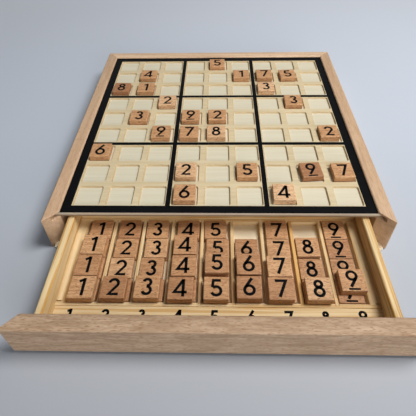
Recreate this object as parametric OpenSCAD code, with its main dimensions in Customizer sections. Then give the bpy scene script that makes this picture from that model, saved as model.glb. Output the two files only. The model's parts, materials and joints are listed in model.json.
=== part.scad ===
// Wooden number-puzzle board: a mitred case with a milled playing board,
// a storage drawer that pulls out of the front, and loose number tiles.
// X runs across, Y runs to the back, Z is up; the origin is the middle of the case's base.
// The drawer is drawn pulled out, as it stands when the tiles are in use.

/* [Tiles] */
// Side of a square tile; the recesses, the columns and the case follow from it
tile_w = 16; // [14:0.1:18]
// Thickness of a tile
tile_t = 5.3; // [4:0.1:6]
// Small flat along a tile's edges
tile_ease = 0.45; // [0.2:0.05:1]
// Gap left between a stored tile and the one that lies on it
stack_gap = 0.1; // [0.05:0.05:0.3]

/* [Playing board] */
// Room beside a tile in its recess
cell_room = 1.4; // [0.8:0.1:2]
// Width of the ribs between recesses
rib_w = 5; // [4:0.1:7]
// Depth of a recess
cell_depth = 1.5; // [0.8:0.1:2]
// Corner radius that the cutter leaves in a recess
cell_round = 1.5; // [0.5:0.1:2]
// Plain border outside the outer half ribs
border_w = 4.9; // [3:0.1:8]
// Thickness of the playing board
board_t = 3.7; // [3.4:0.1:5]
// Depth of the board's face below the rail tops
board_drop = 1.8; // [1:0.1:3]
// How far the board reaches into the rail grooves
board_tongue = 3.5; // [2:0.5:6]
// Room left for the board at the bottom of its groove
groove_room = 1.6; // [0.2:0.1:2]

/* [Case] */
// Width of a rail, seen from above
rail_w = 10.5; // [10:0.5:14]
// Height of a rail
rail_h = 30; // [28:0.5:40]
// Small flat taken off the long edges of rails and drawer front
rail_ease = 0.9; // [0.4:0.1:1.5]
// Small flat down the outer corners of the frame
corner_ease = 1.8; // [0.5:0.1:3]
// Thickness of the bottom panel
panel_t = 2.2; // [1.5:0.1:3]
// How far the bottom panel reaches under the rails
panel_seat = 7.5; // [4:0.5:8]

/* [Drawer] */
// How far the drawer is pulled out from shut
drawer_out = 75.6; // [20:0.1:80]
// Gap left between the shut drawer front and the rails
shut_gap = 0.5; // [0.3:0.1:1]
// Gap between a drawer side and the rail beside it
side_gap = 4.4; // [1:0.1:6]
// Gap between the drawer sides and the board above
top_gap = 1.8; // [0.5:0.1:3]
// Running gap between the drawer and the bottom panel under it
run_gap = 0.3; // [0.2:0.1:0.6]
// Thickness of the drawer sides
side_t = 5.2; // [4:0.1:7]
// Thickness of the drawer back
back_t = 5.2; // [4:0.1:7]
// Thickness of the drawer floor
floor_t = 2.9; // [2:0.1:4]
// How far the floor is let into the sides and the back
floor_seat = 2.4; // [1:0.1:3.5]
// Small flat along the top edges of the drawer sides and back
side_ease = 0.7; // [0.3:0.1:1.2]

/* [Tray] */
// Height of the dividers and strips above the drawer floor
tray_h = 4.3; // [3:0.1:5]
// Room beside a tile in its column
column_room = 1.55; // [1:0.05:1.7]
// Thickness of a divider
divider_t = 2.4; // [1.5:0.1:2.6]
// Spare length for each tile in a column
tile_play = 0.4; // [0.2:0.1:0.8]
// Thickness of the cross strips at both ends of the columns
strip_t = 2.5; // [2:0.1:4]
// Depth of the housings that hold the divider ends
housing = 1.2; // [0.5:0.1:1.8]
// Width of the numbered ledge in front of the columns
label_w = 15.6; // [8:0.1:18]
// Step from the front strip down to the numbered ledge
label_step = 0.6; // [0.2:0.1:1.5]
// Width of the open slit at the front end of each side ledge
slit_w = 0.9; // [0.4:0.1:1.5]
// Small flat along the upper edges of the dividers
divider_ease = 0.3; // [0.1:0.1:0.6]

/* [Hidden] */
// Overrun of every cut past the face that it leaves
over = 1;
// Recesses along one side of the board, which is also the number of tile columns
cells = 9;
// Tiles in one layer of a column
slots = 4;
// Share of a side ledge's width that its slit takes, from the outside
slit_share = 0.5;

// Board and case, outwards from the tile
cell_w = tile_w + 2 * cell_room;
cell_pitch = cell_w + rib_w;
in_half = cells * cell_pitch / 2 + border_w;
out_half = in_half + rail_w;
groove_depth = board_tongue + groove_room;
board_top = rail_h - board_drop;
board_under = board_top - board_t;

// Drawer levels
box_half = in_half - side_gap;
box_in = box_half - side_t;
floor_z = panel_t + run_gap;
tray_z = floor_z + floor_t;
tray_top = tray_z + tray_h;
side_top = board_under - top_gap;

// Drawer depths, from the back face of the drawer front
front_y = -in_half - shut_gap - drawer_out;
strip_y = front_y + label_w;
column_y = strip_y + strip_t;
slot_pitch = tile_w + tile_play;
column_l = slots * slot_pitch;
rear_strip_y = column_y + column_l;
back_y = rear_strip_y + strip_t;
box_end = back_y + back_t;

// Columns across the drawer
column_w = tile_w + 2 * column_room;
column_pitch = column_w + divider_t;
ledge_x = (cells * column_pitch - divider_t) / 2;
ledge_w = box_in - ledge_x;

// Tiles on the board: row from the back, column from the left, place in the recess
// as shares of the room there, and turn in degrees
board_tile_shares = [
    [1, 5, -0.5, -0.1, 1], [2, 2, 0, 0.6, -1], [2, 6, 0.1, 0.2, 0], [2, 7, -0.1, 0.7, 1],
    [2, 8, -0.1, 0.3, 4], [3, 1, 0.1, -0.1, -2], [3, 2, 0.3, -0.4, 0], [3, 7, -0.2, 0.3, 0],
    [4, 3, 0, 0.3, 1], [4, 8, -0.4, 0.2, 0], [5, 2, 0.4, -0.1, -1], [5, 4, -0.3, 0.2, 0],
    [5, 5, -0.2, 0.4, 1], [6, 3, -0.8, 0.2, 0], [6, 4, -0.5, 0, 0], [6, 5, -0.8, 0.3, 0],
    [6, 9, -0.4, 0.2, 1], [7, 1, -0.3, -0.1, 0], [8, 4, -0.3, 0.1, 0], [8, 6, -0.6, 0, 0],
    [8, 8, 0.4, 0.2, 5], [8, 9, 0.5, -0.1, 2], [9, 4, 0, 0, 0], [9, 7, 0.7, 0.4, -1]
];

// Tiles lying on the drawer floor, column by column: slot from the front, and place across
// as a share of the room beside a tile
low_tile_shares = [
    [[0, 0.2], [1, 0.4], [2, 0], [3, 0.5]],
    [[0, 0.3], [1, -0.3], [2, 0.2], [3, 0.4]],
    [[0, 0.3], [1, -0.8], [2, 0.1], [3, -0.4]],
    [[0, 0.1], [1, 0], [2, -0.3], [3, 0.4]],
    [[0, 0], [1, 0.2], [2, 0.3], [3, -0.8]],
    [[0, -0.3], [1, -0.2], [2, -0.6]],
    [[0, -0.4], [1, -0.3], [2, 0], [3, 0.1]],
    [[0, -0.6], [1, -0.8], [2.1, -0.7]],
    [[0, -0.8], [1, -0.9], [2, -0.8], [3, -0.7]]
];

// Tiles lying on other tiles, in the same form
high_tile_shares = [
    [[-0.08, -0.1], [0.93, -0.2], [1.94, 0]],
    [[-0.07, -0.8]],
    [[-0.05, -0.9]],
    [[-0.09, -0.9], [0.93, -0.4], [1.95, -0.3]],
    [[-0.08, -0.2], [1.08, 0]],
    [[-0.03, -0.6], [1.02, -0.3]],
    [[-0.07, -1.6], [0.93, -1.2]],
    [[-0.07, -0.2]],
    [[0.32, 0.3]]
];

function board_tile_name(t) = str("tile_row", t[0], "_col", t[1]);
function column_name(k) = str("stored_tiles_", k + 1);
function divider_name(k) = str("divider_", k + 1);
function column_x(k) = (k - (cells - 1) / 2) * column_pitch;
function cell_at(k) = (k - (cells - 1) / 2) * cell_pitch;

// Rail section: x from the inner face outwards, y up, with the board groove and the panel rebate
module rail_section() {
    polygon([
        [panel_seat, 0], [rail_w - rail_ease, 0],
        [rail_w, rail_ease], [rail_w, rail_h - rail_ease],
        [rail_w - rail_ease, rail_h], [rail_ease, rail_h],
        [0, rail_h - rail_ease], [0, board_top],
        [groove_depth, board_top], [groove_depth, board_under],
        [0, board_under], [0, panel_t], [panel_seat, panel_t]
    ]);
}

// The same outline without groove and rebate, ending above the bottom panel, for the drawer front
module front_section() {
    polygon([
        [rail_ease, floor_z], [rail_w - rail_ease, floor_z],
        [rail_w, floor_z + rail_ease], [rail_w, rail_h - rail_ease],
        [rail_w - rail_ease, rail_h], [rail_ease, rail_h],
        [0, rail_h - rail_ease], [0, floor_z + rail_ease]
    ]);
}

// Length of section along X with its inner face on the X axis, reaching out towards -Y
module bar(len) {
    rotate([90, 0, -90])
        linear_extrude(len, center = true)
            children();
}

// Plan that leaves a bar with mitred ends, long on the outside, each tip eased across the mitre
module mitre_plan() {
    linear_extrude(rail_h)
        polygon([
            [-in_half, 0], [corner_ease / 2 - out_half, corner_ease / 2 - rail_w],
            [corner_ease - out_half, -rail_w], [out_half - corner_ease, -rail_w],
            [out_half - corner_ease / 2, corner_ease / 2 - rail_w], [in_half, 0]
        ]);
}

module mitred_bar() {
    intersection() {
        bar(2 * out_half)
            children();
        mitre_plan();
    }
}

module left_rail() {
    color("burlywood")
        translate([-in_half, 0, 0])
            rotate([0, 0, -90])
                mitred_bar()
                    rail_section();
}

module right_rail() {
    color("burlywood")
        translate([in_half, 0, 0])
            rotate([0, 0, 90])
                mitred_bar()
                    rail_section();
}

module back_rail() {
    color("burlywood")
        translate([0, in_half, 0])
            rotate([0, 0, 180])
                mitred_bar()
                    rail_section();
}

// Outline of one recess, with the round corners that a cutter leaves
module cell_outline() {
    straight = cell_w - 2 * cell_round;
    square([cell_w, straight], center = true);
    square([straight, cell_w], center = true);
    for (x = [-1, 1], y = [-1, 1])
        translate([x * straight / 2, y * straight / 2])
            circle(cell_round);
}

// Board let into the three rails, its front edge bare, with a recess for every cell
module playing_board() {
    side = in_half + board_tongue;
    color("cornsilk")
        difference() {
            translate([-side, -in_half, board_under])
                cube([2 * side, in_half + side, board_t]);
            for (i = [0 : cells - 1], j = [0 : cells - 1])
                translate([cell_at(i), cell_at(j), board_top - cell_depth])
                    linear_extrude(cell_depth + over)
                        cell_outline();
        }
}

// Panel let in under the three rails, reaching forward under the drawer front
module bottom_panel() {
    side = in_half + panel_seat;
    color("wheat")
        translate([-side, -out_half, 0])
            cube([2 * side, out_half + side, panel_t]);
}

module drawer_front() {
    color("burlywood")
        translate([0, front_y, 0])
            mitred_bar()
                front_section();
}

// Drawer side section: x outwards from the inner face, with the rebate for the floor
module side_section() {
    polygon([
        [floor_seat, floor_z], [side_t, floor_z],
        [side_t, side_top - side_ease], [side_t - side_ease, side_top],
        [side_ease, side_top], [0, side_top - side_ease],
        [0, tray_z], [floor_seat, tray_z]
    ]);
}

module drawer_side() {
    translate([box_in, front_y, 0])
        rotate([90, 0, 0])
            mirror([0, 0, 1])
                linear_extrude(box_end - front_y)
                    side_section();
}

module drawer_side_left() {
    color("khaki")
        mirror([1, 0, 0])
            drawer_side();
}

module drawer_side_right() {
    color("khaki")
        drawer_side();
}

// Back of the drawer between its sides, rebated for the floor like them
module drawer_back() {
    color("khaki")
        translate([0, back_y, 0])
            rotate([0, 0, 180])
                bar(2 * box_in)
                    polygon([
                        [floor_seat, floor_z], [back_t, floor_z],
                        [back_t, side_top - side_ease], [back_t - side_ease, side_top],
                        [side_ease, side_top], [0, side_top - side_ease],
                        [0, tray_z], [floor_seat, tray_z]
                    ]);
}

module drawer_floor() {
    side = box_in + floor_seat;
    color("ivory")
        translate([-side, front_y, floor_z])
            cube([2 * side, back_y + floor_seat - front_y, floor_t]);
}

// Cross strip with a housing for every divider end in its upper face, open towards +Y
module cross_strip() {
    difference() {
        translate([-box_in, 0, tray_z])
            cube([2 * box_in, strip_t, tray_h]);
        for (k = [0 : cells - 2])
            translate([column_x(k) + column_w / 2, strip_t - housing, tray_z - over])
                cube([divider_t, housing + over, tray_h + 2 * over]);
    }
}

module front_strip() {
    color("cornsilk")
        translate([0, strip_y, 0])
            cross_strip();
}

module rear_strip() {
    color("cornsilk")
        translate([0, back_y, 0])
            mirror([0, 1, 0])
                cross_strip();
}

module number_ledge() {
    color("khaki")
        translate([-box_in, front_y, tray_z])
            cube([2 * box_in, label_w, tray_h - label_step]);
}

// Ledge beside the outer columns, cut short on its outer part so that a slit stays open in front
module side_ledge() {
    difference() {
        translate([ledge_x, column_y, tray_z])
            cube([ledge_w, column_l, tray_h]);
        translate([box_in - slit_share * ledge_w, column_y - over, tray_z - over])
            cube([slit_share * ledge_w + over, slit_w + over, tray_h + 2 * over]);
    }
}

module ledge_left() {
    color("cornsilk")
        mirror([1, 0, 0])
            side_ledge();
}

module ledge_right() {
    color("cornsilk")
        side_ledge();
}

// Divider between two columns, eased on top, its ends housed in the cross strips
module divider(k) {
    color("cornsilk")
        translate([column_x(k) + column_w / 2, column_y - housing, 0])
            rotate([90, 0, 0])
                mirror([0, 0, 1])
                    linear_extrude(column_l + 2 * housing)
                        polygon([
                            [0, tray_z], [divider_t, tray_z],
                            [divider_t, tray_top - divider_ease], [divider_t - divider_ease, tray_top],
                            [divider_ease, tray_top], [0, tray_top - divider_ease]
                        ]);
}

// Outline of a square or oblong with its corners cut by the tile's small flat
module eased_outline(w, h) {
    polygon([
        [tile_ease - w / 2, 0], [w / 2 - tile_ease, 0], [w / 2, tile_ease],
        [w / 2, h - tile_ease], [w / 2 - tile_ease, h], [tile_ease - w / 2, h],
        [-w / 2, h - tile_ease], [-w / 2, tile_ease]
    ]);
}

// Tile standing on z = 0, with every edge eased
module tile() {
    color("peru")
        intersection() {
            translate([0, -tile_w / 2, 0])
                linear_extrude(tile_t)
                    eased_outline(tile_w, tile_w);
            rotate([90, 0, 0])
                linear_extrude(tile_w, center = true)
                    eased_outline(tile_w, tile_t);
            rotate([90, 0, 90])
                linear_extrude(tile_w, center = true)
                    eased_outline(tile_w, tile_t);
        }
}

module board_tile(t) {
    translate([
        cell_at(t[1] - 1) + t[2] * cell_room,
        cell_at(cells - t[0]) + t[3] * cell_room,
        board_top - cell_depth
    ])
        rotate([0, 0, t[4]])
            tile();
}

// All stored tiles of one column: those on the floor, and those lying on them
module stored_tiles(k) {
    for (layer = [0, 1], s = layer == 0 ? low_tile_shares[k] : high_tile_shares[k])
        translate([
            column_x(k) + s[1] * column_room,
            column_y + (s[0] + 1 / 2) * slot_pitch,
            tray_z + layer * (tile_t + stack_gap)
        ])
            tile();
}

left_rail();
right_rail();
back_rail();
playing_board();
bottom_panel();
drawer_front();
drawer_side_left();
drawer_side_right();
drawer_back();
drawer_floor();
front_strip();
rear_strip();
number_ledge();
ledge_left();
ledge_right();
for (k = [0 : cells - 2])
    divider(k);
for (k = [0 : cells - 1])
    stored_tiles(k);
for (t = board_tile_shares)
    board_tile(t);
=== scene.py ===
# %% [markdown]
# # A wooden sudoku board with a drawer
# The board is a mitred beech case with a thin plywood playing board let into it. Its drawer
# front is the fourth side of the frame, and number tiles lie on the board and in the drawer.
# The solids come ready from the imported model; this script gives each piece its softened edges,
# its wood and its print, and sets up light and camera. All sizes are in metres, in the frame of
# the solids, and where a piece sits is read from the solids themselves.

# %% Load the solids
import bpy, bmesh, json, math, random
from mathutils import Matrix, Vector

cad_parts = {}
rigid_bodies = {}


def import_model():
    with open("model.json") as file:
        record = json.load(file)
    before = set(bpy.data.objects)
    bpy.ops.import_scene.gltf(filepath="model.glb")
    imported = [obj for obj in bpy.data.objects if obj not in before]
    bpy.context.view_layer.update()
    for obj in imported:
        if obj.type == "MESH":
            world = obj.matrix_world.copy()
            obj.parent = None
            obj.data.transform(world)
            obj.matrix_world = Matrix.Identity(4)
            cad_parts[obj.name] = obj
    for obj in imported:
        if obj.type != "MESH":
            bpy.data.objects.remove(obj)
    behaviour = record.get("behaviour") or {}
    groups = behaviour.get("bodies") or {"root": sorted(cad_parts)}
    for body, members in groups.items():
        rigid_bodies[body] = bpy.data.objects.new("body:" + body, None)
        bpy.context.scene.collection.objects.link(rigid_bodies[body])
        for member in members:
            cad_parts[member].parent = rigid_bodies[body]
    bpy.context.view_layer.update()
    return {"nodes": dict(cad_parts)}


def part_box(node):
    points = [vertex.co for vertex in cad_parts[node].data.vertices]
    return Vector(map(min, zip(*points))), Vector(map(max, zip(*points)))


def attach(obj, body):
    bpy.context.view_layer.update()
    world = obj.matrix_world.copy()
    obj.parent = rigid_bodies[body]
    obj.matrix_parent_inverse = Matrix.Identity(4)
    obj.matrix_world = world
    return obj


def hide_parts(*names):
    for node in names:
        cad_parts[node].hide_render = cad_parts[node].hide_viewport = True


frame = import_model()
scene = bpy.context.scene
MM = 0.001

# %% [markdown]
# ## Camera
# The photograph looks down over the drawer from in front, from quite near, so the back of the
# board is clearly smaller than its front. The lens sees about 54 degrees. The picture was cut so
# that the optical axis sits above its middle. Tilting the camera would bring the board back into
# the picture, but it would change how its sides run together; a small shift of the lens doesn't.

# %% Camera
EYE = Vector((0.0016, -0.2968, 0.2454))
LOOK = Vector((-0.028, 0.729, -0.684)).normalized()
ACROSS = Vector((1.0, 0.021, -0.019))
SENSOR_MM, LENS_MM, LENS_SHIFT = 36, 34.87, -0.097


def add_object(name, data):
    obj = bpy.data.objects.new(name, data)
    scene.collection.objects.link(obj)
    return obj


cam_data = bpy.data.cameras.new("camera")
camera = add_object("camera", cam_data)
right = (ACROSS - LOOK * ACROSS.dot(LOOK)).normalized()
facing = Matrix((right, right.cross(LOOK), -LOOK)).transposed()
camera.matrix_world = Matrix.Translation(EYE) @ facing.to_4x4()
cam_data.sensor_width = SENSOR_MM
cam_data.lens = LENS_MM
cam_data.shift_y = LENS_SHIFT
cam_data.clip_start = 10 * MM
scene.camera = camera
print("camera at", [round(v, 4) for v in camera.location])

# %% [markdown]
# ## Helpers for node trees
# Every material here is a small tree of nodes. Written out, a tree takes a line for each node,
# each value and each link, which hides what it does. With these helpers one line adds a node,
# sets its values and wires it.

# %% Add and wire a node
def node(tree, kind, links=None, **values):
    n = tree.nodes.new(kind)
    for key, value in values.items():
        setattr(n, key, value)
    for key, value in (links or {}).items():
        socket = n.inputs[key]
        if hasattr(value, "is_linked"):
            tree.links.new(value, socket)
        else:
            socket.default_value = value
    return n


def math_of(tree, operation, *values):
    return node(tree, "ShaderNodeMath", dict(enumerate(values)), operation=operation).outputs[0]


def any_of(tree, values):
    found = values[0]
    for value in values[1:]:
        found = math_of(tree, "MAXIMUM", found, value)
    return found


print("helpers for nodes: node, math_of, any_of")

# %% Ranges, colour ramps and new materials
def spread(tree, value, low, high, to_low, to_high):
    return node(tree, "ShaderNodeMapRange", {
        "Value": value, "From Min": low, "From Max": high,
        "To Min": to_low, "To Max": to_high}).outputs["Result"]


def ramp(tree, fac, stops):
    n = node(tree, "ShaderNodeValToRGB", {"Fac": fac})
    bar = n.color_ramp
    while len(bar.elements) < len(stops):
        bar.elements.new(0.5)
    for element, (pos, colour) in zip(bar.elements, stops):
        element.position = pos
        element.color = (*colour, 1)
    return n.outputs["Color"]


def new_material(name):
    mat = bpy.data.materials.new(name)
    mat.use_nodes = True
    tree = mat.node_tree
    place = node(tree, "ShaderNodeTexCoord").outputs["Object"]
    return mat, tree, tree.nodes["Principled BSDF"], place


print("helpers for materials: spread, ramp, new_material")

# %% [markdown]
# ## Floor and light
# The board stands on a pale table whose paint is darker towards the front and paler behind: painted
# shade where less light falls. A curved backdrop could close the view, but it would hide the part
# from some sides, so the table only runs on and fades into the sky with distance. The fading is an
# Emission that only the camera and reflections see, so that it doesn't light the wood, and it
# starts beyond the board's shadow. Daylight falls from the upper right, so faces that look left lie
# in
# shade: one round lamp, fairly near and high, gives that, and the left side of the board comes out
# a little darker. A second lamp, further off, stands for the bright room in front on the right, and
# a faint sky fills the shadows. The level is plain: a colour on a flat face comes out about as it
# is written. The sky too looks paler to the camera than it shines.

# %% Floor
FLOOR_HALF = 2.5
corners = [(x * FLOOR_HALF, y * FLOOR_HALF, 0) for x, y in ((-1, -1), (1, -1), (1, 1), (-1, 1))]
mesh = bpy.data.meshes.new("table")
mesh.from_pydata(corners, [], [(0, 1, 2, 3)])
table = add_object("table", mesh)
print("floor:", table.name, "with sides of", 2 * FLOOR_HALF, "m")

# %% Floor paint
SKY_COLOUR = (0.90, 0.96, 1.0, 1)
SKY_LIGHT, SKY_SEEN = 0.07, 0.60
NEAR_Y, FAR_Y = -0.28, 0.55
FADE_FROM, FADE_TO = 0.35, 1.5
# painted shade: the table is darker towards the front, where less light falls, and paler behind
FLOOR_PAINTED_FALLOFF = [(0.0, (0.34, 0.36, 0.40)), (0.35, (0.50, 0.555, 0.645)), (1.0, (0.66, 0.70, 0.785))]
FLOOR_ROUGH, FLOOR_SHINE = 0.6, 0.2
PALE_RAYS = ("Is Camera Ray", "Is Glossy Ray", "Is Transmission Ray")


def pale_rays(tree):
    rays = node(tree, "ShaderNodeLightPath").outputs
    return any_of(tree, [rays[kind] for kind in PALE_RAYS])


paint, tree, bsdf, place = new_material("table_paint")
depth = node(tree, "ShaderNodeSeparateXYZ", {"Vector": place}).outputs["Y"]
shade = ramp(tree, spread(tree, depth, NEAR_Y, FAR_Y, 0.0, 1.0), FLOOR_PAINTED_FALLOFF)
tree.links.new(shade, bsdf.inputs["Base Color"])
bsdf.inputs["Roughness"].default_value = FLOOR_ROUGH
bsdf.inputs["Specular IOR Level"].default_value = FLOOR_SHINE
away = node(tree, "ShaderNodeVectorMath", {0: place}, operation="LENGTH").outputs["Value"]
faded = spread(tree, away, FADE_FROM, FADE_TO, 0.0, 1.0)
share = math_of(tree, "MULTIPLY", faded, pale_rays(tree))
haze = node(tree, "ShaderNodeEmission", {"Color": SKY_COLOUR, "Strength": SKY_SEEN})
mixed = node(tree, "ShaderNodeMixShader", {
    0: share, 1: bsdf.outputs["BSDF"], 2: haze.outputs["Emission"]}).outputs["Shader"]
tree.links.new(mixed, tree.nodes["Material Output"].inputs["Surface"])
table.data.materials.append(paint)
print("floor paint:", paint.name, len(tree.nodes), "nodes")

# %% Sky
world = bpy.data.worlds.new("soft_room")
scene.world = world
world.use_nodes = True
tree = world.node_tree
sky = tree.nodes["Background"]
sky.inputs["Color"].default_value = SKY_COLOUR
level = spread(tree, pale_rays(tree), 0.0, 1.0, SKY_LIGHT, SKY_SEEN)
tree.links.new(level, sky.inputs["Strength"])
print("sky:", world.name, "lights with", SKY_LIGHT, "and looks like", SKY_SEEN)

# %% Lamps
AIM = Vector((0, -0.04, 0))
LAMPS = [  # name, place, width, watts, colour
    ("window", (0.48, -0.09, 0.95), 0.5, 11.0, (1.0, 0.975, 0.94)),
    ("room", (0.7, -1.8, 0.7), 1.3, 22.0, (1.0, 0.98, 0.96))]
for name, spot, width, watts, colour in LAMPS:
    data = bpy.data.lights.new(name, "AREA")
    data.shape = "DISK"
    data.size = width
    data.energy = watts
    data.color = colour
    lamp = add_object(name, data)
    lamp.location = spot
    lamp.rotation_euler = (AIM - lamp.location).to_track_quat("-Z", "Y").to_euler()
scene.view_settings.view_transform = "Standard"

# %% [markdown]
# ## Wood
# A picture of wood could be wrapped around each piece, but it would break off at every cut end.
# All woods here are solid patterns instead: noise that is stretched along the grain. Wide stretched
# noise makes the growth figure, fine stretched noise makes the fibres, and short thin dashes make
# the flecks that beech shows. Such a pattern runs through the piece, so long faces show streaks and
# cut ends show their cross-section. The grain runs along X; a Mapping node turns it. Each stick and
# tile carries a tone from 0 to 1: it sets how light the wood is, and also moves the pattern, so
# that no two pieces look cut from one spot. Edges that hands and sandpaper reach are a little
# paler, which a Bevel node finds by comparing rounded normals with the true ones.

# %% Grain
GRAIN_ROUGH = 0.55
FIBRE, CLOUD = (0.03, 1900.0), (0.5, 18.0)
FIGURE_DETAIL, FIGURE_BEND, FINE_DETAIL = 3.0, 0.6, 2.0
FIGURE_SHARE, FIBRE_SHARE, CLOUD_SHARE = 0.62, 0.26, 0.12


def stretched(tree, vector, along, scale, detail, distort=0.0):
    thin = node(tree, "ShaderNodeMapping", {"Vector": vector, "Scale": (along, 1, 1)})
    return node(tree, "ShaderNodeTexNoise", {
        "Vector": thin.outputs["Vector"], "Scale": scale, "Detail": detail,
        "Roughness": GRAIN_ROUGH, "Distortion": distort}).outputs["Fac"]


def grain(tree, place, figure):
    grown = stretched(tree, place, *figure, FIGURE_DETAIL, FIGURE_BEND)
    fine = stretched(tree, place, *FIBRE, FINE_DETAIL)
    broad = stretched(tree, place, *CLOUD, FINE_DETAIL)
    total = math_of(tree, "ADD", math_of(tree, "MULTIPLY", grown, FIGURE_SHARE),
                    math_of(tree, "MULTIPLY", fine, FIBRE_SHARE))
    return grown, fine, math_of(tree, "MULTIPLY_ADD", broad, CLOUD_SHARE, total)


print("shares of figure, fibre and cloud:", FIGURE_SHARE, FIBRE_SHARE, CLOUD_SHARE)

# %% Worn edges and surface
EDGE_RADIUS, EDGE_FLAT, EDGE_SHARP = 0.5 * MM, 0.98, 0.80
WORN, PALER = 0.12, 1.35
BUMP_DEPTH = 0.1 * MM


def mix_colour(tree, share, first, second, blend="MIX"):
    return node(tree, "ShaderNodeMix", {0: share, 6: first, 7: second},
                data_type="RGBA", blend_type=blend).outputs[2]


def worn_edges(tree, colour, light):
    rounded = node(tree, "ShaderNodeBevel", {"Radius": EDGE_RADIUS}, samples=4).outputs["Normal"]
    true = node(tree, "ShaderNodeNewGeometry").outputs["Normal"]
    agree = node(tree, "ShaderNodeVectorMath", {0: rounded, 1: true}, operation="DOT_PRODUCT")
    edge = spread(tree, agree.outputs["Value"], EDGE_FLAT, EDGE_SHARP, 0.0, WORN)
    pale = [min(1.0, c * PALER) for c in light]
    return mix_colour(tree, edge, colour, (*pale, 1))


def surface(tree, bsdf, colour, roughness, height, bump, shine):
    lift = node(tree, "ShaderNodeBump", {
        "Height": height, "Strength": bump, "Distance": BUMP_DEPTH})
    tree.links.new(colour, bsdf.inputs["Base Color"])
    tree.links.new(roughness, bsdf.inputs["Roughness"])
    tree.links.new(lift.outputs["Normal"], bsdf.inputs["Normal"])
    bsdf.inputs["Specular IOR Level"].default_value = shine


print("worn edges are", PALER, "times as light as the wood")

# %% The wood itself
# a figure and a fleck size are each a stretch along the grain and a fineness
TONE_SHIFT = (0, 7.3, 3.1)
LIGHT_AT, DARK_AT = 0.34, 0.66
LATE_FROM, LATE_TO, LATE_WOOD = 0.50, 0.60, (0.52, 0.25, 0.035, 1)
FLECK_FROM, FLECK_TO, FLECK_DETAIL = 0.54, 0.68, 1.0
ROUGH_FROM, ROUGH_TO = 0.3, 0.7
SMOOTHEST, ROUGHEST, SHINE = 0.49, 0.63, 0.3


def wood(name, light, dark, turn=(0, 0, 0), figure=(0.06, 260.0), tint=None, stripe=0.0, bump=0.25,
         fleck=0.0, fleck_size=(0.12, 1700.0), fleck_colour=(0.26, 0.13, 0.06)):
    mat, tree, bsdf, place = new_material(name)
    place = node(tree, "ShaderNodeMapping", {"Vector": place, "Rotation": turn}).outputs["Vector"]
    if tint:
        tone = node(tree, "ShaderNodeAttribute", attribute_name="tone").outputs["Fac"]
        place = node(tree, "ShaderNodeVectorMath", {0: tone, 1: TONE_SHIFT, 2: place},
                     operation="MULTIPLY_ADD").outputs["Vector"]
    grown, fine, total = grain(tree, place, figure)
    colour = ramp(tree, total, [(LIGHT_AT, light), (DARK_AT, dark)])
    if stripe > 0:
        late = spread(tree, grown, LATE_FROM, LATE_TO, 0.0, stripe)
        colour = mix_colour(tree, late, colour, LATE_WOOD)
    if tint:
        colour = mix_colour(tree, 1.0, colour, ramp(tree, tone, tint), "MULTIPLY")
    height = fine
    if fleck > 0:
        dash = stretched(tree, place, *fleck_size, FLECK_DETAIL)
        mask = spread(tree, dash, FLECK_FROM, FLECK_TO, 0.0, fleck)
        colour = mix_colour(tree, mask, colour, (*fleck_colour, 1))
        height = math_of(tree, "SUBTRACT", fine, mask)
    colour = worn_edges(tree, colour, light)
    roughness = spread(tree, total, ROUGH_FROM, ROUGH_TO, SMOOTHEST, ROUGHEST)
    surface(tree, bsdf, colour, roughness, height, bump, SHINE)
    return mat


print("wood is rough by", SMOOTHEST, "to", ROUGHEST)

# %% Woods of the case and the board
ALONG_Y = (0, 0, math.pi / 2)
BEECH = ((0.70, 0.51, 0.355), (0.51, 0.345, 0.215))
DARKER = [(0, (0.70, 0.60, 0.50)), (1, (1, 1, 1))]
beech_x = wood("beech_across", *BEECH, tint=DARKER, fleck=0.35)
beech_y = wood("beech_along", *BEECH, turn=ALONG_Y, tint=DARKER, fleck=0.35)
beech_front = wood("beech_front", (0.56, 0.40, 0.275), (0.32, 0.21, 0.127), figure=(0.16, 420.0),
                   fleck=0.85, fleck_size=(0.20, 1500.0), fleck_colour=(0.30, 0.165, 0.085))
rib_wood = wood("rib_plywood", (0.66, 0.56, 0.37), (0.55, 0.445, 0.27),
                figure=(0.05, 330.0), bump=0.15)
recess_wood = wood("recess_plywood", (0.67, 0.63, 0.495), (0.605, 0.555, 0.42),
                   figure=(0.05, 300.0), bump=0.15)
# the recess walls are browner than the face: partly the cut plies' own colour, partly painted shade
# inside the recesses
wall_wood_and_shade = wood("cut_plywood", (0.56, 0.44, 0.265), (0.44, 0.32, 0.175),
                 figure=(0.3, 700.0), bump=0.2)
case_woods = (beech_x, beech_y, beech_front, rib_wood, recess_wood, wall_wood_and_shade)
print("woods of the case:", [m.name for m in case_woods])

# %% Woods of the drawer and the tiles
STICK = ((0.82, 0.66, 0.42), (0.65, 0.47, 0.24))
PINE = ((0.85, 0.69, 0.42), (0.66, 0.46, 0.205))
SOFTWOOD_FIGURE = (0.02, 420.0)
OCHRE = [(0, (0.85, 0.62, 0.30)), (1, (1, 1, 1))]
RUSSET = [(0, (0.39, 0.236, 0.173)), (0.65, (0.77, 0.65, 0.54)), (1, (1, 1, 1))]
floor_wood = wood("drawer_floor_plywood", (0.90, 0.79, 0.60), (0.80, 0.68, 0.47),
                  figure=(0.05, 240.0), bump=0.15)
pine_y = wood("pine_along", *PINE, turn=ALONG_Y, figure=SOFTWOOD_FIGURE, tint=DARKER, stripe=0.8)
pine_x = wood("pine_across", *PINE, figure=SOFTWOOD_FIGURE, tint=DARKER, stripe=0.8)
stick_y = wood("stick_wood_along", *STICK, turn=ALONG_Y, figure=SOFTWOOD_FIGURE, tint=OCHRE,
               stripe=0.45)
stick_x = wood("stick_wood_across", *STICK, figure=SOFTWOOD_FIGURE, tint=OCHRE, stripe=0.45)
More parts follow.
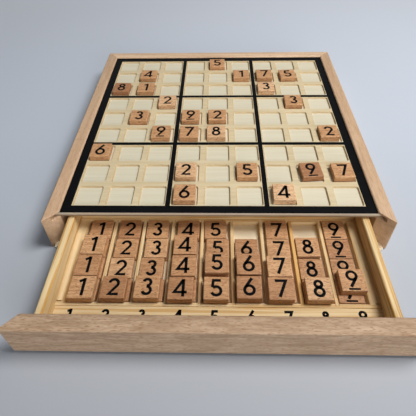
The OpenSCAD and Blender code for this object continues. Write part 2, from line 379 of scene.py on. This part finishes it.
tile_wood = wood("tile_beech", (0.90, 0.625, 0.39), (0.53, 0.315, 0.163), figure=(0.18, 620.0),
                 tint=RUSSET, fleck=0.85, fleck_size=(0.22, 2400.0),
                 fleck_colour=(0.20, 0.08, 0.035))
drawer_woods = (floor_wood, pine_y, pine_x, stick_y, stick_x, tile_wood)
print("woods of the drawer:", [m.name for m in drawer_woods])

# %% [markdown]
# ## Ink and cut plywood
# The lines on the board and the numbers are screen-printed in black. A plain black would do, but
# the ink lies thin and nearly matt, and the wood's grain shows in it as faint unevenness. The cut
# edge of the board shows its layers: a pale face ply over a browner one, and the lower band is
# painted darker still, as painted shade under the board's edge. Two pieces could stand for them;
# here the height of a point picks the layer, and a little noise keeps the seam from being ruled.

# %% Black ink
INK_SHADES = [(0.3, (0.0012, 0.0012, 0.0016)), (0.75, (0.004, 0.004, 0.005))]
INK_FIBRE = (0.08, 900.0)
INK_SMOOTHEST, INK_ROUGHEST, INK_BUMP, INK_SHINE = 0.45, 0.62, 0.12, 0.05

ink, tree, bsdf, place = new_material("black_ink")
fibre = stretched(tree, place, *INK_FIBRE, FIGURE_DETAIL)
roughness = spread(tree, fibre, 0.0, 1.0, INK_SMOOTHEST, INK_ROUGHEST)
surface(tree, bsdf, ramp(tree, fibre, INK_SHADES), roughness, fibre, INK_BUMP, INK_SHINE)
print("ink:", ink.name)

# %% Cut edge of the plywood
# the lower band is partly a browner ply and partly painted shade under the board's edge
PLY_LAYERS_AND_SHADE = [(0.38, (0.24, 0.165, 0.10)), (0.46, (0.62, 0.56, 0.46))]
PLY_FIBRE = (0.05, 1400.0)
STREAK_COLOUR, STREAK_SHARE = (0.44, 0.34, 0.23, 1), 0.35
STREAK_FROM, STREAK_TO = 0.3, 0.8
SEAM_NOISE = 0.08
PLY_SMOOTHEST, PLY_ROUGHEST, PLY_BUMP, PLY_SHINE = 0.6, 0.8, 0.2, 0.2

board_lo, board_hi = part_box("playing_board")
edge_wood, tree, bsdf, place = new_material("edge_plywood")
fibre = stretched(tree, place, *PLY_FIBRE, FIGURE_DETAIL)
height = node(tree, "ShaderNodeSeparateXYZ", {"Vector": place}).outputs["Z"]
level = spread(tree, height, board_lo[2], board_hi[2], 0.0, 1 - SEAM_NOISE)
level = math_of(tree, "MULTIPLY_ADD", fibre, SEAM_NOISE, level)
streaks = spread(tree, fibre, STREAK_FROM, STREAK_TO, 0.0, STREAK_SHARE)
colour = mix_colour(tree, streaks, ramp(tree, level, PLY_LAYERS_AND_SHADE), STREAK_COLOUR)
roughness = spread(tree, fibre, 0.0, 1.0, PLY_SMOOTHEST, PLY_ROUGHEST)
surface(tree, bsdf, colour, roughness, fibre, PLY_BUMP, PLY_SHINE)
print("edge of the board:", edge_wood.name)

# %% [markdown]
# ## Softened copies of the solids
# Sanded wood has no knife edges. Shading could fake them, but an outline would still be sharp. So
# each rail and board of the drawer is a copy of its solid: loose triangles are merged, flat faces
# are joined again, and a narrow bevel rounds every edge that is left. The bevel only takes wood
# away, so nothing grows past the solid that it stands for.

# %% Make modifiers into plain meshes, and hand a piece over
def settle(obj):
    graph = bpy.context.evaluated_depsgraph_get()
    mesh = bpy.data.meshes.new_from_object(obj.evaluated_get(graph))
    obj.modifiers.clear()
    obj.data = mesh
    mesh.name = obj.name
    return obj


def hand_over(obj, body, nodes):
    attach(obj, body)
    if nodes:
        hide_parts(*nodes)
    return obj


print("helpers for pieces: settle, hand_over")

# %% Copy solids and soften their edges
SAME_POINT = 1e-6
FLAT, SHARP = math.radians(1), math.radians(30)
BEVEL_STEPS = 3


def clean_solid(name):
    bm = bmesh.new()
    bm.from_mesh(frame["nodes"][name].data)
    bmesh.ops.remove_doubles(bm, verts=bm.verts, dist=SAME_POINT)
    return bm


def softened_copy(name, nodes, body, mat, width, tones):
    mesh = bpy.data.meshes.new(name)
    bm = bmesh.new()
    for n, tone in zip(nodes, tones):
        part = clean_solid(n)
        bmesh.ops.dissolve_limit(part, angle_limit=FLAT, verts=part.verts, edges=part.edges)
        layer = part.faces.layers.float.new("tone")
        for face in part.faces:
            face[layer] = tone
            face.smooth = True
        part.to_mesh(mesh)
        part.free()
        bm.from_mesh(mesh)
    bm.to_mesh(mesh)
    bm.free()
    mesh.materials.append(mat)
    obj = add_object(name, mesh)
    bevel = obj.modifiers.new("soften", "BEVEL")
    bevel.width = width
    bevel.segments = BEVEL_STEPS
    bevel.limit_method = "ANGLE"
    bevel.angle_limit = SHARP
    bevel.harden_normals = True
    return hand_over(settle(obj), body, nodes)


print("edges sharper than", round(math.degrees(SHARP)), "degrees are rounded")

# %% Rails and the drawer's box
# name, solids, body, wood, slot, rounding in mm, and a tone for each solid (plain woods ignore it)
SOFT_PIECES = [
    ("case_left_rail", ["left_rail"], "case", beech_y, "beech", 0.4, [0.6]),
    ("case_right_rail", ["right_rail"], "case", beech_y, "beech", 0.4, [0.55]),
    ("case_back_rail", ["back_rail"], "case", beech_x, "beech", 0.4, [1.0]),
    ("drawer_front_bar", ["drawer_front"], "drawer", beech_front, "beech", 0.4, [1.0]),
    ("drawer_box_sides", ["drawer_side_left", "drawer_side_right"], "drawer", pine_y, "pine", 0.3,
     [0.9, 0.8]),
    ("drawer_box_back", ["drawer_back"], "drawer", pine_x, "pine", 0.3, [0.7]),
    ("drawer_box_floor", ["drawer_floor"], "drawer", floor_wood, "plywood", 0.15, [1.0]),
    ("case_base", ["bottom_panel"], "case", floor_wood, "plywood", 0.2, [1.0]),
    ("cross_strips", ["front_strip", "rear_strip"], "drawer", stick_x, "plywood", 0.15, [0.9, 0.8]),
    ("drawer_number_ledge", ["number_ledge"], "drawer", stick_x, "pine", 0.2, [0.9]),
    ("side_ledges", ["ledge_left", "ledge_right"], "drawer", stick_y, "plywood", 0.2, [1.0, 0.85])]
for name, nodes, body, mat, slot, width, tones in SOFT_PIECES:
    made = softened_copy(name, nodes, body, mat, width * MM, tones)
    print(made.name, len(made.data.polygons), "faces")

# %% [markdown]
# ## Playing board
# The board is a slab of plywood with 81 recesses, all cut by one round cutter, so their corners are
# round and their edges a little eased. Cutting 81 times with a Boolean would leave long thin
# triangles. So one square of board with its recess is modelled once, and a Geometry Nodes tree
# stamps it on a grid, welds it into the plain rim, and inks every face that lies on a printed line:
# the square's outer strips are half a line wide for that.

# %% Sizes of a square
BOARD_TOP = board_hi[2]
CELL, CELL_W = 23.8 * MM, 18.8 * MM
CELL_ROUND, CELL_DEPTH = 1.5 * MM, 1.5 * MM
EASE, KNEE, COVE = 0.35 * MM, 0.05 * MM, 0.5 * MM
LINE_W = 3.6 * MM
STRIP = CELL / 2 - LINE_W / 2
WALL_PART, FLOOR_PART, SIDE_PART = 1, 2, 3
lines = (-CELL / 2, -STRIP, STRIP, CELL / 2)
print("board face at", round(BOARD_TOP / MM, 2), "mm, pitch", round(CELL / MM, 2), "mm")

# %% The face of one square
bm = bmesh.new()
part = bm.faces.layers.int.new("part")
lattice = [[bm.verts.new((x, y, 0)) for x in lines] for y in lines]
for j in range(3):
    for i in range(3):
        if (i, j) != (1, 1):
            row, above = lattice[j], lattice[j + 1]
            bm.faces.new((row[i], row[i + 1], above[i + 1], above[i]))
print("face of the square:", len(bm.faces), "faces")

# %% Rounded outlines, and meshes from what is drawn
def rounded_square(half, radius, z, steps=3):
    points = []
    for quarter, (sx, sy) in enumerate(((1, 1), (-1, 1), (-1, -1), (1, -1))):
        for k in range(steps + 1):
            a = math.radians(90 * (quarter + k / steps))
            points.append((sx * (half - radius) + radius * math.cos(a),
                           sy * (half - radius) + radius * math.sin(a), z))
    return points


def mesh_from(bm, name):
    mesh = bpy.data.meshes.new(name)
    bm.to_mesh(mesh)
    bm.free()
    return mesh


print("one outline:", len(rounded_square(CELL_W / 2, CELL_ROUND, 0)), "points")

# %% Its recess
profile = [(EASE, 0), (KNEE, KNEE - EASE), (0, COVE - CELL_DEPTH), (-COVE, -CELL_DEPTH)]
rings = [[bm.verts.new(p) for p in rounded_square(CELL_W / 2 + out, CELL_ROUND + out, z)]
         for out, z in profile]
corners = [lattice[2][2], lattice[2][1], lattice[1][1], lattice[1][2]]
per = len(rings[0]) // 4
for quarter, corner in enumerate(corners):
    bend = rings[0][quarter * per:(quarter + 1) * per]
    for a, b in zip(bend, bend[1:]):
        bm.faces.new((corner, b, a))
    following = rings[0][(quarter + 1) * per % len(rings[0])]
    bm.faces.new((corner, corners[(quarter + 1) % 4], following, bend[-1]))
for upper, lower in zip(rings, rings[1:]):
    for k in range(len(upper)):
        n = (k + 1) % len(upper)
        wall = bm.faces.new((upper[k], upper[n], lower[n], lower[k]))
        wall[part] = WALL_PART
floor = bm.faces.new(rings[-1])
floor[part] = FLOOR_PART
bmesh.ops.translate(bm, verts=bm.verts, vec=(0, 0, BOARD_TOP))
square = add_object("recess_square", mesh_from(bm, "recess_square"))
square.data.materials.append(rib_wood)
print("one square:", len(square.data.polygons), "faces")

# %% The plain rim around the squares
marks = sorted({k * CELL + s for k in range(-4, 5) for s in lines})
marks = [s for k, s in enumerate(marks) if k == 0 or s - marks[k - 1] > SAME_POINT]
xs = [board_lo[0]] + marks + [board_hi[0]]
ys = [board_lo[1]] + marks + [board_hi[1]]
bm = bmesh.new()
top = [[bm.verts.new((x, y, BOARD_TOP)) for x in xs] for y in ys]
for j in range(len(ys) - 1):
    for i in range(len(xs) - 1):
        if i in (0, len(xs) - 2) or j in (0, len(ys) - 2):
            bm.faces.new((top[j][i], top[j][i + 1], top[j + 1][i + 1], top[j + 1][i]))
outer = top[0] + [row[-1] for row in top[1:]] + top[-1][-2::-1] + [row[0] for row in top[-2:0:-1]]
low = [bm.verts.new((v.co.x, v.co.y, board_lo[2])) for v in outer]
part = bm.faces.layers.int.new("part")
for k in range(len(outer)):
    n = (k + 1) % len(outer)
    side = bm.faces.new((outer[n], outer[k], low[k], low[n]))
    side[part] = SIDE_PART
bm.faces.new(list(reversed(low)))
bmesh.ops.delete(bm, geom=[v for v in bm.verts if not v.link_faces], context="VERTS")
board = add_object("grid_board", mesh_from(bm, "grid_board"))
board.data.materials.append(rib_wood)
print("rim:", len(board.data.polygons), "faces")

# %% Helpers for Geometry Nodes
def new_tree(name, inputs):
    tree = bpy.data.node_groups.new(name, "GeometryNodeTree")
    face = tree.interface
    face.new_socket("Geometry", in_out="INPUT", socket_type="NodeSocketGeometry")
    keys = {label: face.new_socket(label, in_out="INPUT",
                                   socket_type="NodeSocket" + kind).identifier
            for label, kind in inputs}
    face.new_socket("Geometry", in_out="OUTPUT", socket_type="NodeSocketGeometry")
    given, result = node(tree, "NodeGroupInput").outputs, node(tree, "NodeGroupOutput").inputs
    return tree, keys, given, result


def run_tree(obj, tree, keys, values):
    mod = obj.modifiers.new(tree.name, "NODES")
    mod.node_group = tree
    for label, value in values.items():
        mod[keys[label]] = value
    return settle(obj)


def named(tree, label, kind):
    return node(tree, "GeometryNodeInputNamedAttribute", {"Name": label},
                data_type=kind).outputs["Attribute"]


def painted(tree, geometry, material, selection=True):
    return node(tree, "GeometryNodeSetMaterial", {
        "Geometry": geometry, "Selection": selection, "Material": material}).outputs["Geometry"]


print("helpers for trees: new_tree, run_tree, named, painted")

# %% The tree that stamps the squares
WELD = 0.01 * MM
tree, keys, given, result = new_tree("stamp_squares", [
    ("Square", "Object"), ("Count", "Int"), ("Pitch", "Float"), ("Line width", "Float"),
    ("Face height", "Float"), ("Rib wood", "Material"), ("Recess wood", "Material"),
    ("Wall wood", "Material"), ("Edge wood", "Material"), ("Ink", "Material")])
reach = math_of(tree, "MULTIPLY", given["Pitch"], math_of(tree, "SUBTRACT", given["Count"], 1.0))
spots = node(tree, "GeometryNodeMeshGrid", {
    "Size X": reach, "Size Y": reach,
    "Vertices X": given["Count"], "Vertices Y": given["Count"]}).outputs["Mesh"]
stamp = node(tree, "GeometryNodeObjectInfo", {"Object": given["Square"]}).outputs["Geometry"]
stamped = node(tree, "GeometryNodeInstanceOnPoints", {"Points": spots, "Instance": stamp})
squares = node(tree, "GeometryNodeRealizeInstances", {"Geometry": stamped.outputs["Instances"]})
joined = node(tree, "GeometryNodeJoinGeometry")
for piece in (given["Geometry"], squares.outputs["Geometry"]):
    tree.links.new(piece, joined.inputs["Geometry"])
welded = node(tree, "GeometryNodeMergeByDistance", {
    "Geometry": joined.outputs["Geometry"], "Distance": WELD}).outputs["Geometry"]
print("tree:", tree.name, len(tree.nodes), "nodes so far")

# %% Find the faces that are printed
# from the middle, the lines between the boxes lie a sixth of the grid's width away, the border half
position = node(tree, "GeometryNodeInputPosition").outputs["Position"]
where = node(tree, "ShaderNodeSeparateXYZ", {"Vector": position}).outputs
half_line = math_of(tree, "MULTIPLY", given["Line width"], 0.5)
inner = math_of(tree, "MULTIPLY", given["Pitch"], math_of(tree, "DIVIDE", given["Count"], 6.0))
border = math_of(tree, "MULTIPLY_ADD", inner, 3.0, math_of(tree, "MULTIPLY", half_line, -1.0))
rules = []
for axis in ("X", "Y"):
    away = math_of(tree, "ABSOLUTE", where[axis])
    off = math_of(tree, "ABSOLUTE", math_of(tree, "SUBTRACT", away, inner))
    rules.append(math_of(tree, "LESS_THAN", off, half_line))
    rules.append(math_of(tree, "GREATER_THAN", away, border))
just_under = math_of(tree, "SUBTRACT", given["Face height"], WELD)
on_face = math_of(tree, "GREATER_THAN", where["Z"], just_under)
inked = math_of(tree, "MULTIPLY", any_of(tree, rules), on_face)
print("rules for the print:", len(rules))

# %% Paint the board and run the tree
part_no = named(tree, "part", "INT")
is_wall, is_floor, is_side = [
    node(tree, "FunctionNodeCompare", {2: part_no, 3: kind}, data_type="INT",
         operation="EQUAL").outputs["Result"] for kind in (WALL_PART, FLOOR_PART, SIDE_PART)]
shape = node(tree, "GeometryNodeSetShadeSmooth", {
    "Geometry": welded, "Selection": is_wall}).outputs["Geometry"]
for label, faces in (("Rib wood", True), ("Recess wood", is_floor), ("Wall wood", is_wall),
                     ("Edge wood", is_side), ("Ink", inked)):
    shape = painted(tree, shape, given[label], faces)
tree.links.new(shape, result["Geometry"])
run_tree(board, tree, keys, {
    "Square": square, "Count": 9, "Pitch": CELL, "Line width": LINE_W, "Face height": BOARD_TOP,
    "Rib wood": rib_wood, "Recess wood": recess_wood, "Wall wood": wall_wood_and_shade,
    "Edge wood": edge_wood, "Ink": ink})
hand_over(board, "case", ["playing_board"])
print("board:", len(board.data.polygons), "faces,", [m.name for m in board.data.materials])

# %% [markdown]
# ## Numbers
# The numbers are printed in an even line, like a geometric sans letter. A font would bring its own
# shapes, so they are drawn as strokes: straight lines, circles and parts of circles. Each number is
# a thin film whose face is the top of the tile's solid; the wood ends just below it. The nine has a
# short bar under it, so that it can't be mistaken for a six.

# %% Lines and circles
def arc(cx, cy, r, start, end, steps=22):
    angles = [math.radians(start + (end - start) * k / steps) for k in range(steps + 1)]
    return [(cx + r * math.cos(a), cy + r * math.sin(a)) for a in angles]


def circle(cx, cy, r):
    return arc(cx, cy, r, 90, 450, 30)[:-1] + ["ring"]


def tangent_stem(cx, cy, r, px, py):
    far = math.hypot(px - cx, py - cy)
    toward = math.atan2(py - cy, px - cx)
    a = toward + math.acos(r / far)
    return [(px, py), (cx + r * math.cos(a), cy + r * math.sin(a))]


print("a part of a circle has", len(arc(0, 0, 1, 0, 90)), "points")

# %% The paths of each number
# points are in heights of the number, with x from its middle; w is the width of the line
def number_paths(n, w):
    h = w / 2
    if n == 1:
        return [[(0.09, 0), (0.09, 1)], [(0.09, 1 - h), (-0.17, 0.80)]]
    if n == 2:
        return [arc(0, 0.69, 0.31 - h, 172, -38) + [(-0.30 + h * 1.5, h), (0.31, h)]]
    if n == 3:
        return [arc(0, 0.735, 0.265 - h, 165, -95), arc(0, 0.29, 0.29 - h, 95, -165)]
    if n == 4:
        return [[(0.14, 0), (0.14, 1)], [(0.14, 0.97), (-0.31, 0.25), (0.34, 0.25)]]
    if n == 5:
        return [[(0.24, 1 - h), (-0.15, 1 - h), (-0.20, 0.52)], arc(0, 0.32, 0.32 - h, 135, -160)]
    if n == 6:
        return [circle(0, 0.325, 0.325 - h), tangent_stem(0, 0.325, 0.325 - h, 0.15, 1.0)]
    if n == 7:
        return [[(-0.29, 1 - h), (0.27, 1 - h), (-0.10, 0)]]
    if n == 8:
        return [circle(0, 0.745, 0.255 - h), circle(0, 0.305, 0.305 - h)]
    turned = [[p if p == "ring" else (-p[0], 1 - p[1]) for p in path]
              for path in number_paths(6, w)]
    return turned + [[(-0.30, -0.12), (0.30, -0.12)]]


print("paths:", [len(number_paths(n, 0.16)) for n in range(1, 10)])

# %% From a path to a film
LEAST_MITRE = 0.55


def stroke(bm, path, w, low, high):
    ring = path[-1] == "ring"
    pts = [Vector(p) for p in (path[:-1] if ring else path)]
    count = len(pts)
    rows = []
    for k, p in enumerate(pts):
        before = (p - pts[k - 1]).normalized() if ring or k > 0 else None
        after = (pts[(k + 1) % count] - p).normalized() if ring or k < count - 1 else None
        before, after = before or after, after or before
        side = Vector((-(before + after).y, (before + after).x)).normalized()
        reach = w / 2 / max(LEAST_MITRE, side.dot(Vector((-after.y, after.x))))
        edge = [p + side * reach, p - side * reach]
        rows.append([bm.verts.new((e.x, e.y, z)) for z in (high, low) for e in edge])
    for k in range(count if ring else count - 1):
        a, b = rows[k], rows[(k + 1) % count]
        for i, j in ((0, 1), (1, 3), (3, 2), (2, 0)):
            bm.faces.new((a[i], a[j], b[j], b[i]))
    if not ring:
        for end in (rows[0], rows[-1]):
            bm.faces.new((end[0], end[1], end[3], end[2]))


print("corners of a line reach out to", round(1 / LEAST_MITRE, 2), "times its half width")

# %% Numbers for the tiles
TILE_W, TILE_T = 16 * MM, 5.3 * MM
TILE_STROKE, BAR_SHARE = 0.16, 0.72
NUMBER_TALL, NINE_TALL = 12.3 * MM, 12.0 * MM
NUMBER_MIDDLE, NINE_MIDDLE = 0.5, 0.43
FILM = 0.02 * MM


def number_mesh(name, n, tall, w, low, high):
    bm = bmesh.new()
    for path in number_paths(n, w):
        under = path[0][1] < 0
        stroke(bm, path, w * (BAR_SHARE if under else 1), low / tall, high / tall)
    middle = NINE_MIDDLE if n == 9 else NUMBER_MIDDLE
    bmesh.ops.translate(bm, verts=bm.verts, vec=(0, -middle, 0))
    bmesh.ops.scale(bm, verts=bm.verts, vec=(tall, tall, tall))
    bmesh.ops.recalc_face_normals(bm, faces=bm.faces)
    return mesh_from(bm, name)


numbers = bpy.data.collections.new("numbers")
scene.collection.children.link(numbers)
for n in range(1, 10):
    tall = NINE_TALL if n == 9 else NUMBER_TALL
    film = number_mesh("number_%d" % n, n, tall, TILE_STROKE, TILE_T - 2 * FILM, TILE_T)
    numbers.objects.link(bpy.data.objects.new("number_%d" % n, film))

# %% [markdown]
# ## Dividers and tiles
# The eight dividers are one stick, and all tiles are one block. Copies could be placed by hand in a
# loop, but then each would need its own material to differ. Here two Geometry Nodes trees put them
# on points that carry a tone and a turn. The first lays any wooden piece; the second uses the first
# and adds the printed number that belongs on each tile. They leave plain meshes: one for each tile
# on the board, because each can be lifted out, and one for each kind of piece in the drawer.

# %% One eased block of any size
TILE_EASE, STICK_EASE = 0.55 * MM, 0.3 * MM


def eased_block(name, lo, hi, ease, segments):
    bm = bmesh.new()
    bmesh.ops.create_cube(bm, size=1)
    bmesh.ops.scale(bm, verts=bm.verts, vec=[b - a for a, b in zip(lo, hi)])
    bmesh.ops.translate(bm, verts=bm.verts, vec=[(a + b) / 2 for a, b in zip(lo, hi)])
    bmesh.ops.bevel(bm, geom=bm.edges[:], offset=ease, segments=segments, profile=0.5,
                    affect="EDGES")
    return add_object(name, mesh_from(bm, name))


block = eased_block("tile_block", (-TILE_W / 2, -TILE_W / 2, 0),
                    (TILE_W / 2, TILE_W / 2, TILE_T - FILM), TILE_EASE, 2)
first_lo, first_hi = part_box("divider_1")
middle = (first_lo[0] + first_hi[0]) / 2
stick = eased_block("divider_stick", (first_lo[0] - middle, *first_lo[1:]),
                    (first_hi[0] - middle, *first_hi[1:]), STICK_EASE, 1)
print("block and stick:", len(block.data.polygons), "and", len(stick.data.polygons), "faces")

# %% The tree that lays wooden pieces
def turned_points(tree, given, links):
    spin = node(tree, "ShaderNodeCombineXYZ", {"Z": named(tree, "turn", "FLOAT")})
    return node(tree, "GeometryNodeInstanceOnPoints", {
        "Points": given["Geometry"], "Rotation": spin.outputs["Vector"],
        **links}).outputs["Instances"]


lay_wood, wood_keys, given, result = new_tree("lay_wood", [
    ("Piece", "Object"), ("Wood", "Material")])
piece = node(lay_wood, "GeometryNodeObjectInfo", {"Object": given["Piece"]}).outputs["Geometry"]
laid = turned_points(lay_wood, given, {"Instance": piece})
toned = node(lay_wood, "GeometryNodeStoreNamedAttribute", {
    "Geometry": laid, "Name": "tone", "Value": named(lay_wood, "shade", "FLOAT")},
    domain="INSTANCE", data_type="FLOAT").outputs["Geometry"]
solid = node(lay_wood, "GeometryNodeRealizeInstances", {"Geometry": toned}).outputs["Geometry"]
lay_wood.links.new(painted(lay_wood, solid, given["Wood"]), result["Geometry"])
print("tree:", lay_wood.name, len(lay_wood.nodes), "nodes")

# %% The tree that adds the numbers
lay_tiles, tile_keys, given, result = new_tree("lay_tiles", [
    ("Piece", "Object"), ("Numbers", "Collection"), ("Wood", "Material"), ("Ink", "Material")])
blocks = node(lay_tiles, "GeometryNodeGroup", node_tree=lay_wood)
for label in ("Geometry", "Piece", "Wood"):
    lay_tiles.links.new(given[label], blocks.inputs[label])
films = node(lay_tiles, "GeometryNodeCollectionInfo", {
    "Collection": given["Numbers"], "Separate Children": True,
    "Reset Children": True}).outputs["Instances"]
pick = math_of(lay_tiles, "SUBTRACT", named(lay_tiles, "number", "INT"), 1.0)
prints = turned_points(lay_tiles, given, {
    "Instance": films, "Pick Instance": True, "Instance Index": pick})
flat = node(lay_tiles, "GeometryNodeRealizeInstances", {"Geometry": prints}).outputs["Geometry"]
both = node(lay_tiles, "GeometryNodeJoinGeometry")
for half in (blocks.outputs["Geometry"], painted(lay_tiles, flat, given["Ink"])):
    lay_tiles.links.new(half, both.inputs["Geometry"])
lay_tiles.links.new(both.outputs["Geometry"], result["Geometry"])
print("tree:", lay_tiles.name, len(lay_tiles.nodes), "nodes")

# %% Points that carry a number, a turn and a tone
def points(name, rows):
    mesh = bpy.data.meshes.new(name)
    mesh.from_pydata([row[0] for row in rows], [], [])
    for label, kind, at in (("number", "INT", 1), ("turn", "FLOAT", 2), ("shade", "FLOAT", 3)):
        values = [row[at] for row in rows]
        mesh.attributes.new(label, kind, "POINT").data.foreach_set("value", values)
    return add_object(name, mesh)


def tiles_at(name, rows, body, nodes):
    obj = points(name, rows)
    run_tree(obj, lay_tiles, tile_keys, {
        "Piece": block, "Numbers": numbers, "Wood": tile_wood, "Ink": ink})
    return hand_over(obj, body, nodes)


def foot(lo, hi):
    return (lo[0] + hi[0]) / 2, (lo[1] + hi[1]) / 2, lo[2]


print("helpers for tiles: points, tiles_at, foot")

# %% Dividers
DIVIDER_TONES = (0.80, 0.95, 0.90, 0.70, 0.85, 0.92, 0.10, 0.75)
divider_names = ["divider_%d" % (k + 1) for k in range(len(DIVIDER_TONES))]
dividers = []
for k, (name, tone) in enumerate(zip(divider_names, DIVIDER_TONES)):
    lo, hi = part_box(name)
    dividers.append((((lo[0] + hi[0]) / 2, 0, 0), k, 0.0, tone))
sticks = points("column_dividers", dividers)
run_tree(sticks, lay_wood, wood_keys, {"Piece": stick, "Wood": stick_y})
hand_over(sticks, "drawer", divider_names)
print("dividers:", len(dividers))

# %% Tiles on the board
# row from the back, column from the left, number, turn in degrees, and one of three tones
DARK, MIDDLE, PALE = 0.2, 0.6, 0.9
BOARD_TILES = [
    (1, 5, 5, 1, MIDDLE), (2, 2, 4, -1, MIDDLE), (2, 6, 1, 0, MIDDLE), (2, 7, 7, 1, MIDDLE),
    (2, 8, 5, 4, MIDDLE), (3, 1, 8, -2, DARK), (3, 2, 1, 0, MIDDLE), (3, 7, 3, 0, PALE),
    (4, 3, 2, 1, PALE), (4, 8, 3, 0, MIDDLE), (5, 2, 3, -1, MIDDLE), (5, 4, 9, 0, MIDDLE),
    (5, 5, 2, 1, MIDDLE), (6, 3, 9, 0, MIDDLE), (6, 4, 7, 0, MIDDLE), (6, 5, 8, 0, PALE),
    (6, 9, 2, 1, MIDDLE), (7, 1, 6, 0, MIDDLE), (8, 4, 2, 0, PALE), (8, 6, 5, 0, MIDDLE),
    (8, 8, 9, 5, DARK), (8, 9, 7, 2, MIDDLE), (9, 4, 6, 0, MIDDLE), (9, 7, 4, -1, PALE)]
for row, col, number, degrees, tone in BOARD_TILES:
    name = "tile_row%d_col%d" % (row, col)
    spot = foot(*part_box(name))
    tiles_at("number_" + name, [(spot, number, math.radians(degrees), tone)], name, [name])
print("tiles on the board:", len(BOARD_TILES))

# %% Where the tiles in the drawer lie
def solids_of(name):
    bm = clean_solid(name)
    seen, found = set(), []
    for start in bm.verts:
        if start in seen:
            continue
        seen.add(start)
        group, queue = [], [start]
        while queue:
            v = queue.pop()
            group.append(v.co.copy())
            for e in v.link_edges:
                w = e.other_vert(v)
                if w not in seen:
                    seen.add(w)
                    queue.append(w)
        lo = [min(c[i] for c in group) for i in range(3)]
        hi = [max(c[i] for c in group) for i in range(3)]
        found.append(foot(lo, hi))
    bm.free()
    return sorted(found, key=lambda p: (round(p[2], 5), p[1]))


columns = {k: solids_of("stored_tiles_%d" % k) for k in range(1, 10)}
print("tiles in each column:", [len(places) for places in columns.values()])

# %% Tiles in the drawer
SEED, MOST_TURN, STORED_TONES = 11, 0.4, (0.3, 0.78)
chance = random.Random(SEED)
stored = []
for k, places in columns.items():
    for spot in places:
        turn = math.radians(chance.uniform(-MOST_TURN, MOST_TURN))
        stored.append((spot, k, turn, chance.uniform(*STORED_TONES)))
tiles_at("stored_number_tiles", stored, "drawer", ["stored_tiles_%d" % k for k in columns])
print("tiles in the drawer:", len(stored))

# %% [markdown]
# ## Numbers on the ledge
# A narrow ledge behind the drawer front carries the numbers of the columns, printed flat and a
# little bolder than on the tiles. They could be painted by a material, but the same strokes as on
# the tiles give cleaner edges.

# %% Print the ledge
LEDGE_TALL, LEDGE_STROKE = 8.2 * MM, 0.21
COLUMN, COLUMN_SHIFT, LEDGE_INSET = 22.7 * MM, 1.2 * MM, 2 * MM
ledge_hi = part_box("number_ledge")[1]
line_y = ledge_hi[1] - LEDGE_INSET - LEDGE_TALL / 2
bm = bmesh.new()
for n in range(1, 10):
    digit = number_mesh("ledge_number", n, LEDGE_TALL, LEDGE_STROKE,
                        ledge_hi[2] - FILM, ledge_hi[2] + FILM)
    digit.transform(Matrix.Translation(((n - 5) * COLUMN - COLUMN_SHIFT, line_y, 0)))
    bm.from_mesh(digit)
    bpy.data.meshes.remove(digit)
ledge_print = add_object("ledge_numbers", mesh_from(bm, "ledge_numbers"))
ledge_print.data.materials.append(ink)
hand_over(ledge_print, "drawer", [])
print("ledge numbers:", len(ledge_print.data.polygons), "faces")

# %% [markdown]
# ## Clearing away
# The shapes that only served as patterns go.

# %% Finish
for obj in list(numbers.objects) + [block, stick, square]:
    bpy.data.objects.remove(obj)
bpy.data.collections.remove(numbers)
